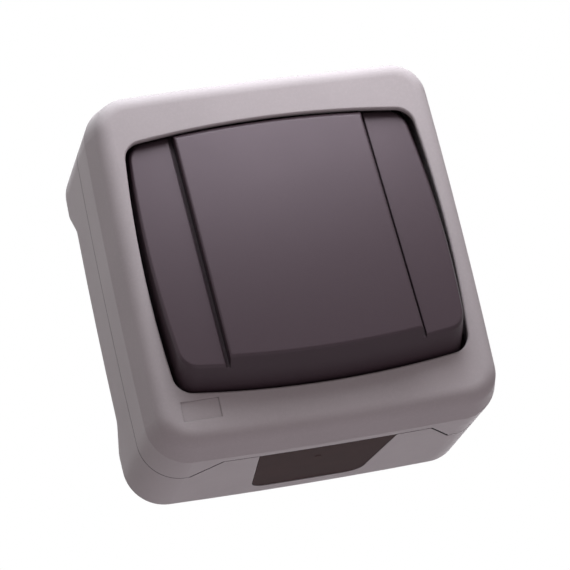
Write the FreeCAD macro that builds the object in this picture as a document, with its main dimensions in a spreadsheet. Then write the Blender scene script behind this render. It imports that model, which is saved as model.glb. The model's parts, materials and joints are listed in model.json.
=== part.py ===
import FreeCAD, Part
import math
import os
import types

import Sketcher

# Surface-mounted weatherproof rocker switch, in millimetres.
# X runs right as seen from the front, Z up, and Y back into the wall. The origin is the middle of
# the face that meets the wall, so a distance in front of the wall, called a lift here, is minus Y.

SIZES = {
    # Housing outline, seen from the front
    "box_width": 74.8,
    "box_height": 79.0,
    "box_side_sweep": 1250.0,
    "box_end_sweep": 1150.0,
    "box_corner": 8.5,
    # Housing depth and walls
    "seam_lift": 19.7,
    "seam_gap": 0.3,
    "front_lift": 38.7,
    "wall": 2.2,
    "floor": 2.5,
    "front_wall": 2.2,
    "rim_lip": 1.15,
    "edge_setback": 1.9,
    "edge_depth": 8.0,
    "edge_round": 3.4,
    "shoulder_lift": 29.5,
    "shoulder_wall": 4.1,
    # Rocker opening in the front cover, by the width of the frame round it
    "frame_side": 5.2,
    "frame_end": 10.57,
    "opening_side_sweep": 242.0,
    "opening_end_sweep": 214.0,
    "opening_corner": 4.0,
    "opening_bevel": 0.25,
    "opening_lip": 1.2,
    "opening_relief": 0.9,
    # Blank label recess at the lower left of the front face
    "label_from_side": 10.7,
    "label_from_end": 8.7,
    "label_width": 7.8,
    "label_height": 4.1,
    "label_depth": 0.25,
    # Raised tab of the rear box under the front cover
    "tab_lift": 28.0,
    "tab_crest_inset": 15.5,
    "tab_base_inset": 9.8,
    # Rear feet
    "foot_relief": 5.6,
    "foot_length": 18.0,
    "foot_toe": 12.5,
    "relief_width": 8.0,
    "side_floor": 8.0,
    "foot_round": 2.6,
    # Wall screw slots
    "slot_from_side": 16.4,
    "slot_from_end": 9.5,
    "slot_width": 4.4,
    "slot_length": 7.0,
    # Gasket between the two shells
    "gasket_low": 18.1,
    "gasket_height": 3.1,
    "gasket_play": 0.05,
    "seal_thickness": 1.1,
    "seal_play": 0.9,
    # Cable entry seal
    "entry_top_width": 29.2,
    "entry_low_width": 23.8,
    "entry_low": 4.0,
    "entry_round": 3.6,
    "entry_play": 0.15,
    "entry_skin": 1.0,
    "entry_flange": 1.1,
    "entry_flange_lap": 1.2,
    "membrane_radius": 7.0,
    "membrane_lift": 11.0,
    "membrane_skin": 0.9,
    # Cover screws and their posts
    "post_from_side": 9.6,
    "post_radius": 3.6,
    "lug_height": 2.8,
    "lug_length": 9.2,
    "lug_reach": 4.0,
    "screw_radius": 1.5,
    "screw_play": 0.06,
    "screw_length": 9.0,
    "screw_head_radius": 2.9,
    "screw_head": 2.0,
    "cross_width": 0.8,
    "cross_length": 3.2,
    "cross_depth": 1.1,
    "lug_hole_play": 0.25,
    # Switch insert: a base for the contacts, under a plate that carries the rocker
    "base_from_side": 16.0,
    "base_height": 40.0,
    "base_top": 19.5,
    "plate_thickness": 1.5,
    "plate_hole_play": 0.3,
    "plunger_hole_radius": 5.3,
    "clip_offset": 11.0,
    "clip_length": 6.0,
    "clip_thickness": 1.0,
    "clip_low": 12.0,
    "clip_hook": 0.7,
    "clip_hook_height": 1.4,
    "clip_play": 0.1,
    "ear_thickness": 3.0,
    "ear_length": 9.0,
    "ear_top": 28.5,
    "channel_width": 9.0,
    "strip_lift": 12.0,
    "strip_thickness": 0.8,
    "strip_width": 5.0,
    "clamp_lift": 10.8,
    "clamp_top": 19.0,
    "clamp_width": 7.6,
    "clamp_length": 6.6,
    "clamp_wall": 1.2,
    "clamp_from_end": 4.4,
    "clamp_play": 0.2,
    "terminal_screw_tip": 13.0,
    "terminal_rise": 0.6,
    "base_screw_from_side": 7.4,
    "base_screw_from_end": 6.0,
    "base_boss_radius": 3.4,
    "base_boss_top": 8.0,
    "base_boss_play": 0.3,
    "base_screw_seat": 11.0,
    "pilot_spare": 0.5,
    # Rocker, measured from its pivot
    "pivot_lift": 24.5,
    "rest_tilt": 7.4,
    "rocker_face": 17.4,
    "rocker_skirt": 6.0,
    "rocker_play": 0.6,
    "rocker_side_taper": 4.0,
    "rocker_end_over": 2.47,
    "rocker_blank_spare": 9.0,
    "rocker_end_sweep": 250.0,
    "rocker_corner": 4.0,
    "rocker_wall": 2.0,
    "strip_drop": 1.8,
    "side_strip": 11.5,
    "panel_groove": 0.85,
    "panel_groove_depth": 0.6,
    "panel_edge": 0.3,
    "panel_bevel": 0.5,
    "strip_edge": 0.4,
    # Cradle under the rocker
    "trunnion_radius": 1.8,
    "running_fit": 0.05,
    "cradle_play": 0.4,
    "cradle_from_end": 5.0,
    "cradle_lift": 2.2,
    "cradle_thickness": 1.8,
    "cheek_thickness": 1.5,
    "cheek_length": 8.0,
    "tube_radius": 4.2,
    "tube_low": -4.0,
    "tube_top": 12.0,
    "tube_cap": 1.2,
    "stake_from_side": 5.0,
    "stake_from_end": 3.5,
    "stake_width": 4.0,
    "stake_pin": 2.2,
    "stake_snap": 0.5,
    # Plunger and its spring
    "plunger_radius": 2.5,
    "plunger_play": 0.15,
    "plunger_reach": 8.0,
    "plunger_tip": 1.5,
    "plunger_nose": 0.7,
    "plunger_shoulder": 1.0,
    "spring_radius": 1.9,
    "spring_wire": 0.25,
    "spring_turns": 5.0,
    # Contact lever
    "lever_gap": 0.35,
    "lever_thickness": 0.8,
    "lever_width": 6.0,
    "lever_length": 20.0,
    "lever_tilt": 5.0,
    "fulcrum_gap": 0.25,
    "fulcrum_round": 0.3,
    "fulcrum_width": 2.4,
    "contact_offset": 8.0,
    "contact_radius": 1.7,
    "contact_height": 0.9,
    "contact_gap": 0.3,
    # How far a cut runs past the face that it opens
    "overrun": 1.0,
}

# Share of a length past which an edge counts as lying at its end
MOST = 0.7

doc = FreeCAD.newDocument("weatherproof_switch")
sheet = doc.addObject("Spreadsheet::Sheet", "sizes")
for row, (alias, value) in enumerate(SIZES.items(), start=1):
    sheet.set("A%d" % row, alias)
    sheet.set("B%d" % row, str(value))
    sheet.setAlias("B%d" % row, alias)
doc.recompute()


class Size:
    """A length that knows its number and the sheet expression that it comes from."""

    def __init__(self, number, text):
        self.number = number
        self.text = text

    def __add__(self, other):
        return Size(self.number + number(other), "(%s + %s)" % (self.text, text(other)))

    def __radd__(self, other):
        return Size(number(other) + self.number, "(%s + %s)" % (text(other), self.text))

    def __sub__(self, other):
        return Size(self.number - number(other), "(%s - %s)" % (self.text, text(other)))

    def __rsub__(self, other):
        return Size(number(other) - self.number, "(%s - %s)" % (text(other), self.text))

    def __mul__(self, other):
        return Size(self.number * number(other), "(%s * %s)" % (self.text, text(other)))

    def __rmul__(self, other):
        return Size(number(other) * self.number, "(%s * %s)" % (text(other), self.text))

    def __truediv__(self, other):
        return Size(self.number / number(other), "(%s / %s)" % (self.text, text(other)))


def number(value):
    return value.number if isinstance(value, Size) else float(value)


def text(value):
    return value.text if isinstance(value, Size) else repr(value)


def sine(degrees):
    """The sine of an angle in degrees."""
    return Size(math.sin(math.radians(degrees.number)), "sin(%s * 1 deg)" % degrees.text)


s = types.SimpleNamespace(**{alias: Size(value, "sizes." + alias) for alias, value in SIZES.items()})

# Sizes that follow from the others
s.opening_width = s.box_width - 2 * s.frame_side
s.opening_height = s.box_height - 2 * s.frame_end
s.tab_crest = s.box_width - 2 * s.tab_crest_inset
s.tab_base = s.box_width - 2 * s.tab_base_inset
s.foot_inner = s.box_height - 2 * s.foot_length
s.foot_outer = s.box_height - 2 * s.foot_toe
s.slot_pitch_x = s.box_width - 2 * s.slot_from_side
s.slot_pitch_z = s.box_height - 2 * s.slot_from_end
s.post_offset = s.box_width / 2 - s.post_from_side
s.base_width = s.box_width - 2 * s.base_from_side
s.base_screw_x = s.base_width / 2 - s.base_screw_from_side
s.base_screw_z = s.base_height / 2 - s.base_screw_from_end
s.plate_top = s.base_top + s.plate_thickness
s.rocker_width = s.opening_width - 2 * s.rocker_play
s.rocker_end_radius = s.opening_height / 2 + s.rocker_end_over
s.panel_width = s.rocker_width - 2 * s.side_strip
s.clamp_offset = s.base_height / 2 - s.clamp_from_end
s.cradle_half_width = s.base_width / 2 - s.ear_thickness - s.cradle_play
s.cradle_half_height = s.base_height / 2 - s.cradle_from_end
s.stake_x = s.cradle_half_width - s.stake_from_side
s.stake_z = s.cradle_half_height - s.stake_from_end
s.lever_back = s.fulcrum_round + s.fulcrum_gap
s.lever_pivot = s.pivot_lift - s.plunger_reach - s.lever_gap - s.lever_thickness - s.lever_back


def bind(thing, name, value):
    """Tie a property of an object to the sheet."""
    if isinstance(value, Size):
        thing.setExpression(name, value.text)


# Sketches


def new_body(name):
    body = doc.addObject("PartDesign::Body", name)
    body.Label = name
    return body


def new_sketch(body, name, role, offset=0.0):
    """A sketch on an origin plane of the body, moved along that plane's normal."""
    sketch = body.newObject("Sketcher::SketchObject", name)
    plane = [feature for feature in body.Origin.OriginFeatures if feature.Role == role][0]
    sketch.AttachmentSupport = [(plane, "")]
    sketch.MapMode = "FlatFace"
    base = FreeCAD.Vector(0, 0, number(offset))
    sketch.AttachmentOffset = FreeCAD.Placement(base, FreeCAD.Rotation())
    bind(sketch, "AttachmentOffset.Base.z", offset)
    return sketch


def front_sketch(body, name, lift=0.0):
    """A sketch seen from the front, at a lift: its axes are X and Z, and its normal points forward."""
    return new_sketch(body, name, "XZ_Plane", lift)


def dimension(sketch, kind, places, value):
    index = sketch.addConstraint(Sketcher.Constraint(kind, *places, number(value)))
    bind(sketch, "Constraints[%d]" % index, value)


def place_point(sketch, geometry, point, across, up):
    """Fix a point of a sketch by its two distances from the sketch's origin."""
    dimension(sketch, "DistanceX", (-1, 1, geometry, point), across)
    dimension(sketch, "DistanceY", (-1, 1, geometry, point), up)


def polygon(sketch, points):
    first = sketch.GeometryCount
    corners = [FreeCAD.Vector(number(across), number(up), 0) for across, up in points]
    for index, corner in enumerate(corners):
        following = corners[(index + 1) % len(corners)]
        sketch.addGeometry(Part.LineSegment(corner, following), False)
    for index in range(len(points)):
        following = first + (index + 1) % len(points)
        sketch.addConstraint(Sketcher.Constraint("Coincident", first + index, 2, following, 1))
    for index, (across, up) in enumerate(points):
        place_point(sketch, first + index, 1, across, up)


def rectangle(sketch, left, right, low, high):
    polygon(sketch, [(left, low), (right, low), (right, high), (left, high)])


def circle(sketch, across, up, radius):
    centre = FreeCAD.Vector(number(across), number(up), 0)
    normal = FreeCAD.Vector(0, 0, 1)
    index = sketch.addGeometry(Part.Circle(centre, normal, number(radius)), False)
    place_point(sketch, index, 3, across, up)
    dimension(sketch, "Radius", (index,), radius)


def slot(sketch, across, up, length, width):
    """A slot along the sketch's first axis, with round ends."""
    half = (length - width) / 2
    radius = width / 2
    first = sketch.GeometryCount
    x, y, run, r = number(across), number(up), number(half), number(radius)
    normal = FreeCAD.Vector(0, 0, 1)
    right = Part.Circle(FreeCAD.Vector(x + run, y, 0), normal, r)
    left = Part.Circle(FreeCAD.Vector(x - run, y, 0), normal, r)
    sketch.addGeometry(Part.ArcOfCircle(right, -math.pi / 2, math.pi / 2), False)
    low_left = FreeCAD.Vector(x - run, y + r, 0)
    sketch.addGeometry(Part.LineSegment(FreeCAD.Vector(x + run, y + r, 0), low_left), False)
    sketch.addGeometry(Part.ArcOfCircle(left, math.pi / 2, 3 * math.pi / 2), False)
    start = FreeCAD.Vector(x - run, y - r, 0)
    sketch.addGeometry(Part.LineSegment(start, FreeCAD.Vector(x + run, y - r, 0)), False)
    for index in range(4):
        following = first + (index + 1) % 4
        sketch.addConstraint(Sketcher.Constraint("Tangent", first + index, 2, following, 1))
    place_point(sketch, first, 3, across + half, up)
    place_point(sketch, first + 2, 3, across - half, up)
    dimension(sketch, "Radius", (first,), radius)


def barrel(sketch, width, height, side_sweep, end_sweep, corner):
    """A rounded rectangle whose four sides are long arcs, like the staves of a barrel."""
    half_width, half_height = width / 2, height / 2
    side_centre, end_centre = half_width - side_sweep, half_height - end_sweep
    cx, cy = number(side_centre), number(end_centre)
    side, end, r = number(side_sweep), number(end_sweep), number(corner)
    # The corner's centre lies a corner radius inside both long arcs, so two circles meet there.
    reach_side, reach_end = side - r, end - r
    gap = math.hypot(cx, cy)
    along = (reach_side ** 2 - reach_end ** 2 + gap ** 2) / (2 * gap)
    away = math.sqrt(reach_side ** 2 - along ** 2)
    towards = FreeCAD.Vector(-cx / gap, cy / gap, 0)
    square = FreeCAD.Vector(-towards.y, towards.x, 0)
    centre = FreeCAD.Vector(cx, 0, 0) + towards * along + square * away
    if centre.x < 0 or centre.y < 0:
        centre = FreeCAD.Vector(cx, 0, 0) + towards * along - square * away
    side_turn = math.atan2(centre.y, centre.x - cx)
    end_turn = math.atan2(centre.y - cy, centre.x)
    quarter = math.pi / 2
    sweep = (side_turn, end_turn - quarter)
    first = sketch.GeometryCount
    normal = FreeCAD.Vector(0, 0, 1)
    middles = [(cx, 0.0, side), (0.0, cy, end), (-cx, 0.0, side), (0.0, -cy, end)]
    flips = [(1, 1), (-1, 1), (-1, -1), (1, -1)]
    for index, (x, y, radius) in enumerate(middles):
        half_turn = abs(sweep[index % 2])
        long_arc = Part.Circle(FreeCAD.Vector(x, y, 0), normal, radius)
        heading = index * quarter
        sketch.addGeometry(Part.ArcOfCircle(long_arc, heading - half_turn, heading + half_turn), False)
        flip_x, flip_y = flips[index]
        middle = FreeCAD.Vector(centre.x * flip_x, centre.y * flip_y, 0)
        corner_arc = Part.Circle(middle, normal, r)
        start = heading + half_turn
        finish = (index + 1) * quarter - abs(sweep[(index + 1) % 2])
        sketch.addGeometry(Part.ArcOfCircle(corner_arc, start, finish), False)
    for index in range(8):
        following = first + (index + 1) % 8
        sketch.addConstraint(Sketcher.Constraint("Tangent", first + index, 2, following, 1))
    for index in range(4):
        dimension(sketch, "Radius", (first + 2 * index + 1,), corner)
        dimension(sketch, "Radius", (first + 2 * index,), side_sweep if index % 2 == 0 else end_sweep)
    place_point(sketch, first, 3, side_centre, 0.0)
    place_point(sketch, first + 2, 3, 0.0, end_centre)
    place_point(sketch, first + 4, 3, -1 * side_centre, 0.0)
    place_point(sketch, first + 6, 3, 0.0, -1 * end_centre)


def box_outline(sketch, inset=0.0):
    """The housing's outline, or the same outline a wall's thickness further in."""
    barrel(
        sketch,
        s.box_width - 2 * inset,
        s.box_height - 2 * inset,
        s.box_side_sweep - inset,
        s.box_end_sweep - inset,
        s.box_corner - inset,
    )


def opening_outline(sketch, outset=0.0):
    """The rocker opening's outline, or the same outline a little further out."""
    barrel(
        sketch,
        s.opening_width + 2 * outset,
        s.opening_height + 2 * outset,
        s.opening_side_sweep + outset,
        s.opening_end_sweep + outset,
        s.opening_corner + outset,
    )


# Features


def grow(body, kind, name, sketch, length, reverse=False, both=False):
    feature = body.newObject("PartDesign::" + kind, name)
    feature.Profile = sketch
    feature.Length = number(length)
    bind(feature, "Length", length)
    feature.Reversed = reverse
    if both:
        feature.Midplane = True
    return feature


def pad(body, name, sketch, length, reverse=False, both=False):
    """Material along the sketch's normal."""
    return grow(body, "Pad", name, sketch, length, reverse, both)


def pocket(body, name, sketch, length, reverse=False, both=False):
    """A cut against the sketch's normal, or along it when reversed.

    A cut that removes nothing stops the build.
    """
    doc.recompute()
    before = body.Shape.Volume
    feature = grow(body, "Pocket", name, sketch, length, reverse, both)
    doc.recompute()
    if body.Shape.Volume > before - 1e-6:
        raise ValueError("the cut %s of %s removes nothing" % (name, body.Label))
    return feature


def dress(body, kind, name, test, radius):
    """A fillet or chamfer on the edges of the body's tip that pass a test."""
    doc.recompute()
    tip = body.Tip
    edges = ["Edge%d" % place for place, edge in enumerate(tip.Shape.Edges, start=1) if test(edge)]
    if not edges:
        raise ValueError("no edge found for %s of %s" % (name, body.Label))
    feature = body.newObject("PartDesign::" + kind, name)
    feature.Base = (tip, edges)
    if kind == "Fillet":
        feature.Radius = number(radius)
        bind(feature, "Radius", radius)
    else:
        feature.Size = number(radius)
        bind(feature, "Size", radius)
    doc.recompute()
    return feature


def lies_at(value, *where):
    return all(abs(place - number(value)) < 1e-4 for place in where)


def at_lift(lift):
    """A test for edges that lie flat at a lift."""
    return lambda edge: lies_at(-1 * number(lift), edge.BoundBox.YMin, edge.BoundBox.YMax)


def along_axis(axis, *spots):
    """A test for straight edges along an axis that pass one of the spots, given in the two other axes."""
    others = [index for index in range(3) if index != axis]

    def test(edge):
        if len(edge.Vertexes) != 2:
            return False
        start, finish = edge.Vertexes[0].Point, edge.Vertexes[1].Point
        if any(abs(start[index] - finish[index]) > 1e-4 for index in others):
            return False
        here = [start[index] for index in others]
        return any(max(abs(a - b) for a, b in zip(here, spot)) < 1e-3 for spot in spots)

    return test


# Primitives for the small inner pieces


def block(name, left, right, near, far, low, high):
    """A box between two X, two lifts and two Z values."""
    solid = doc.addObject("Part::Box", name)
    for side, length in (("Length", right - left), ("Width", far - near), ("Height", high - low)):
        setattr(solid, side, number(length))
        bind(solid, side, length)
    corner = (left, -1 * far, low)
    solid.Placement.Base = FreeCAD.Vector(*[number(value) for value in corner])
    for letter, value in zip("xyz", corner):
        bind(solid, "Placement.Base." + letter, value)
    return solid


def rod(name, radius, length, across, lift, up, along="y"):
    """A cylinder that starts at a point and runs forward (y), right (x) or up (z)."""
    solid = doc.addObject("Part::Cylinder", name)
    solid.Radius = number(radius)
    bind(solid, "Radius", radius)
    solid.Height = number(length)
    bind(solid, "Height", length)
    turns = {
        "y": (FreeCAD.Vector(1, 0, 0), 90),
        "x": (FreeCAD.Vector(0, 1, 0), 90),
        "z": (FreeCAD.Vector(0, 0, 1), 0),
    }
    start = (across, -1 * lift, up)
    solid.Placement = FreeCAD.Placement(
        FreeCAD.Vector(*[number(value) for value in start]), FreeCAD.Rotation(*turns[along])
    )
    for letter, value in zip("xyz", start):
        bind(solid, "Placement.Base." + letter, value)
    return solid


def fuse(name, *pieces):
    joined = doc.addObject("Part::MultiFuse", name)
    joined.Shapes = list(pieces)
    joined.Refine = True
    return joined


def cut(name, base, *tools):
    result = doc.addObject("Part::Cut", name)
    result.Base = base
    result.Tool = tools[0] if len(tools) == 1 else fuse(name + "_tools", *tools)
    return result


def group(name, *pieces):
    """Separate solids that share one node."""
    together = doc.addObject("Part::Compound", name)
    together.Links = list(pieces)
    return together


# Rear box: open tray with corner feet, a raised tab below and posts for the screws


def make_rear_box():
    body = new_body("rear_box")
    outline = front_sketch(body, "rear_outline")
    box_outline(outline)
    pad(body, "rear_block", outline, s.tab_lift)

    # Everything above the seam goes, apart from the outer skin of the tab in the bottom wall
    skin = s.box_height / 2 - s.rim_lip
    rim = s.seam_lift - s.seam_gap / 2
    above = new_sketch(body, "above_seam", "XY_Plane", -1 * skin)
    rectangle(above, -1 * s.box_width, s.box_width, -2 * s.tab_lift, -1 * rim)
    pocket(body, "cut_above_seam", above, 2 * s.box_height, reverse=True)
    for side in (-1, 1):
        flank = new_sketch(body, "beside_tab", "XY_Plane", -1 * skin)
        polygon(flank, [
            (side * s.box_width, -1 * rim),
            (side * s.tab_base / 2, -1 * rim),
            (side * s.tab_crest / 2, -1 * s.tab_lift),
            (side * s.tab_crest / 2, -2 * s.tab_lift),
            (side * s.box_width, -2 * s.tab_lift),
        ])
        pocket(body, "cut_beside_tab", flank, s.box_height)

    # Hollow, in three steps: deep middle, full width, and the lip that takes the gasket
    deep = front_sketch(body, "deep_hollow", s.floor)
    deep_half = s.box_width / 2 - s.relief_width - s.wall
    deep_tall = s.box_height / 2 - s.wall
    rectangle(deep, -1 * deep_half, deep_half, -1 * deep_tall, deep_tall)
    pocket(body, "cut_deep_hollow", deep, s.gasket_low - s.floor, reverse=True)
    hollow = front_sketch(body, "hollow", s.side_floor)
    box_outline(hollow, s.wall)
    pocket(body, "cut_hollow", hollow, s.tab_lift, reverse=True)
    lip = front_sketch(body, "gasket_lip", s.gasket_low)
    box_outline(lip, s.rim_lip)
    pocket(body, "cut_gasket_lip", lip, s.tab_lift, reverse=True)

    # Posts for the cover screws and bosses for the switch insert
    posts = front_sketch(body, "posts", s.floor / 2)
    for side in (-1, 1):
        circle(posts, side * s.post_offset, 0.0, s.post_radius)
    pad(body, "pad_posts", posts, s.gasket_low + s.gasket_height - s.floor / 2)
    bosses = front_sketch(body, "bosses", s.floor / 2)
    for side in (-1, 1):
        circle(bosses, side * s.base_screw_x, side * s.base_screw_z, s.base_boss_radius)
    pad(body, "pad_bosses", bosses, s.base_boss_top - s.floor / 2)
    pilots = front_sketch(body, "post_pilots", s.gasket_low + s.gasket_height)
    for side in (-1, 1):
        circle(pilots, side * s.post_offset, 0.0, s.screw_radius + s.screw_play)
    pocket(body, "cut_post_pilots", pilots, s.screw_length)
    boss_pilots = front_sketch(body, "boss_pilots", s.base_boss_top)
    for side in (-1, 1):
        circle(boss_pilots, side * s.base_screw_x, side * s.base_screw_z, s.screw_radius + s.screw_play)
    pocket(body, "cut_boss_pilots", boss_pilots, s.base_boss_top - s.floor / 2)

    # Slots for the wall screws
    slots = front_sketch(body, "wall_slots", s.floor)
    for side in (-1, 1):
        for end in (-1, 1):
            slot(slots, side * s.slot_pitch_x / 2, end * s.slot_pitch_z / 2, s.slot_length, s.slot_width)
    pocket(body, "cut_wall_slots", slots, s.floor)

    # The sides stand clear of the wall between the corner feet, with an easy curve at each foot
    inner_side = s.box_width / 2 - s.relief_width
    for side in (-1, 1):
        relief = new_sketch(body, "foot_relief", "YZ_Plane", side * inner_side)
        polygon(relief, [
            (s.overrun, -1 * s.foot_outer / 2 - s.overrun),
            (0.0, -1 * s.foot_outer / 2),
            (-1 * s.foot_relief, -1 * s.foot_inner / 2),
            (-1 * s.foot_relief, s.foot_inner / 2),
            (0.0, s.foot_outer / 2),
            (s.overrun, s.foot_outer / 2 + s.overrun),
        ])
        pocket(body, "cut_foot_relief", relief, s.box_width, reverse=side > 0)
    inner = number(s.foot_inner) / 2
    outer = number(s.foot_outer) / 2
    depth = -1 * number(s.foot_relief)
    spots = [(depth, inner), (depth, -inner), (0.0, outer), (0.0, -outer)]
    dress(body, "Fillet", "foot_curves", along_axis(0, *spots), s.foot_round)

    # Cut-out for the cable entry seal, open towards the seam
    entry = new_sketch(body, "entry_cutout", "XY_Plane", s.wall * 2 - s.box_height / 2)
    polygon(entry, entry_corners(0.0, s.tab_lift + s.overrun))
    pocket(body, "cut_entry", entry, s.box_height / 2)
    low = -1 * number(s.entry_low)
    corner = number(entry_half(s.entry_low, 0.0))
    dress(body, "Fillet", "entry_corners", along_axis(2, (corner, low), (-corner, low)), s.entry_round)
    return body


def entry_half(lift, play):
    """Half the width of the cable entry at a lift: it narrows towards the wall."""
    slope = (s.entry_top_width - s.entry_low_width) / 2 / (s.tab_lift - s.entry_low)
    return s.entry_low_width / 2 + slope * (lift - s.entry_low) - play


def entry_corners(play, top):
    """The cable entry's four corners in X and Y, from the seam down to the wall side."""
    low = s.entry_low + play
    return [
        (-1 * entry_half(top, play), -1 * top),
        (entry_half(top, play), -1 * top),
        (entry_half(low, play), -1 * low),
        (-1 * entry_half(low, play), -1 * low),
    ]


# Front cover: shell with a softened front edge and a barrel-shaped opening


def make_front_cover():
    body = new_body("front_cover")
    rim = s.seam_lift + s.seam_gap / 2
    outline = front_sketch(body, "cover_outline", rim)
    box_outline(outline)
    pad(body, "cover_block", outline, s.front_lift - rim)
    edge = dress(body, "Chamfer", "front_slope", at_lift(s.front_lift), s.edge_setback)
    edge.ChamferType = "Two distances"
    edge.Size2 = number(s.edge_depth)
    bind(edge, "Size2", s.edge_depth)
    doc.recompute()
    boxes = [face.BoundBox for face in edge.Shape.Faces]
    front_face = [box for box in boxes if lies_at(-1 * s.front_lift, box.YMin, box.YMax)][0]
    if front_face.XLength < number(s.box_width - s.edge_depth):
        edge.FlipDirection = True
    dress(body, "Fillet", "front_round", at_lift(s.front_lift), s.edge_round)

    # Hollow, in three steps that follow the outer shape
    top = s.gasket_low + s.gasket_height
    steps = [
        ("cover_lip", rim, top, s.rim_lip),
        ("cover_hollow", rim, s.shoulder_lift, s.wall),
        ("cover_shoulder", rim, s.front_lift - s.front_wall, s.shoulder_wall),
    ]
    for name, start, finish, inset in steps:
        hollow = front_sketch(body, name, start)
        box_outline(hollow, inset)
        pocket(body, "cut_" + name, hollow, finish - start, reverse=True)

    # The bottom wall's outer skin rises over the tab of the rear box
    skin = s.box_height / 2 - s.rim_lip
    arch = new_sketch(body, "arch", "XY_Plane", -1 * skin)
    polygon(arch, [
        (-1 * s.tab_base / 2 - s.seam_gap, s.overrun - rim),
        (-1 * s.tab_base / 2 - s.seam_gap, -1 * rim),
        (-1 * s.tab_crest / 2 - s.seam_gap, -1 * s.tab_lift - s.seam_gap),
        (s.tab_crest / 2 + s.seam_gap, -1 * s.tab_lift - s.seam_gap),
        (s.tab_base / 2 + s.seam_gap, -1 * rim),
        (s.tab_base / 2 + s.seam_gap, s.overrun - rim),
    ])
    pocket(body, "cut_arch", arch, s.box_height)

    # Lugs for the cover screws, inside the left and right walls
    lugs = front_sketch(body, "lugs", top)
    wall_face = s.box_width / 2 - s.wall / 2
    for side in (-1, 1):
        rectangle(
            lugs,
            side * (s.post_offset - s.lug_reach),
            side * wall_face,
            -1 * side * s.lug_length / 2,
            side * s.lug_length / 2,
        )
    pad(body, "pad_lugs", lugs, s.lug_height)
    holes = front_sketch(body, "lug_holes", top + s.lug_height)
    for side in (-1, 1):
        circle(holes, side * s.post_offset, 0.0, s.screw_radius + s.lug_hole_play)
    pocket(body, "cut_lug_holes", holes, s.lug_height)

    # Opening for the rocker, with a thin lip at the front and more room behind it
    relief = front_sketch(body, "opening_relief", s.front_lift - s.front_wall)
    opening_outline(relief, s.opening_relief)
    pocket(body, "cut_opening_relief", relief, s.front_wall - s.opening_lip, reverse=True)
    opening = front_sketch(body, "opening", s.front_lift)
    opening_outline(opening)
    pocket(body, "cut_opening", opening, s.front_wall)
    half_w, half_h = number(s.opening_width) / 2, number(s.opening_height) / 2

    def opening_edge(edge):
        middle = edge.CenterOfMass
        return at_lift(s.front_lift)(edge) and abs(middle.x) <= half_w and abs(middle.z) <= half_h

    dress(body, "Chamfer", "opening_edge", opening_edge, s.opening_bevel)

    label = front_sketch(body, "label_recess", s.front_lift)
    left = s.label_from_side - s.label_width / 2 - s.box_width / 2
    low = s.label_from_end - s.label_height / 2 - s.box_height / 2
    rectangle(label, left, left + s.label_width, low, low + s.label_height)
    pocket(body, "cut_label_recess", label, s.label_depth)
    return body


# Seals


def make_cover_gasket():
    body = new_body("cover_gasket")
    ring = front_sketch(body, "gasket_ring", s.gasket_low)
    box_outline(ring, s.rim_lip + s.gasket_play)
    box_outline(ring, s.wall)
    pad(body, "gasket", ring, s.gasket_height)
    return body


def make_rocker_seal():
    """Flat ring behind the opening that keeps splashes off the switch insert."""
    body = new_body("rocker_seal")
    inner_face = s.front_lift - s.front_wall
    ring = front_sketch(body, "seal_ring", inner_face - s.seal_thickness)
    box_outline(ring, s.shoulder_wall + s.gasket_play)
    opening_outline(ring, s.seal_play)
    pad(body, "seal", ring, s.seal_thickness)
    return body


def make_cable_entry_seal():
    """Soft plate in the bottom wall, with a thin round membrane that the cable pierces."""
    body = new_body("cable_entry_seal")
    outer = s.box_height / 2 - s.entry_play
    plate = new_sketch(body, "entry_plate", "XY_Plane", -1 * outer)
    polygon(plate, entry_corners(s.entry_play, s.tab_lift))
    pad(body, "pad_plate", plate, s.entry_skin)
    neck_top = s.gasket_low - s.entry_play
    inner = s.box_height / 2 - s.wall - s.entry_play
    neck = new_sketch(body, "entry_neck", "XY_Plane", -1 * outer)
    polygon(neck, entry_corners(s.entry_play, neck_top))
    pad(body, "pad_neck", neck, outer - inner)
    low = -1 * number(s.entry_low + s.entry_play)
    corner = number(entry_half(s.entry_low + s.entry_play, s.entry_play))
    dress(body, "Fillet", "seal_corners", along_axis(2, (corner, low), (-corner, low)), s.entry_round)
    flange = new_sketch(body, "entry_flange_outline", "XY_Plane", -1 * inner)
    half = s.entry_low_width / 2 + s.entry_flange_lap
    rectangle(flange, -1 * half, half, -1 * neck_top, -1 * (s.floor + s.entry_play))
    pad(body, "pad_flange", flange, s.entry_flange)
    recess = new_sketch(body, "membrane", "XY_Plane", s.entry_flange - inner)
    circle(recess, 0.0, -1 * s.membrane_lift, s.membrane_radius)
    pocket(body, "cut_membrane", recess, outer - inner + s.entry_flange - s.membrane_skin)
    return body


# Screws: a round head with a cross recess and a plain shank


def screw(name, across, up, seat, length):
    head = rod(name + "_head", s.screw_head_radius, s.screw_head, across, seat, up)
    shank = rod(name + "_shank", s.screw_radius, length, across, seat - length, up)
    half_long, half_wide = s.cross_length / 2, s.cross_width / 2
    near, far = seat + s.screw_head - s.cross_depth, seat + s.screw_head + s.overrun
    level = block(
        name + "_level", across - half_long, across + half_long, near, far, up - half_wide, up + half_wide
    )
    plumb = block(
        name + "_plumb", across - half_wide, across + half_wide, near, far, up - half_long, up + half_long
    )
    return cut(name, fuse(name + "_blank", head, shank), level, plumb)


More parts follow.
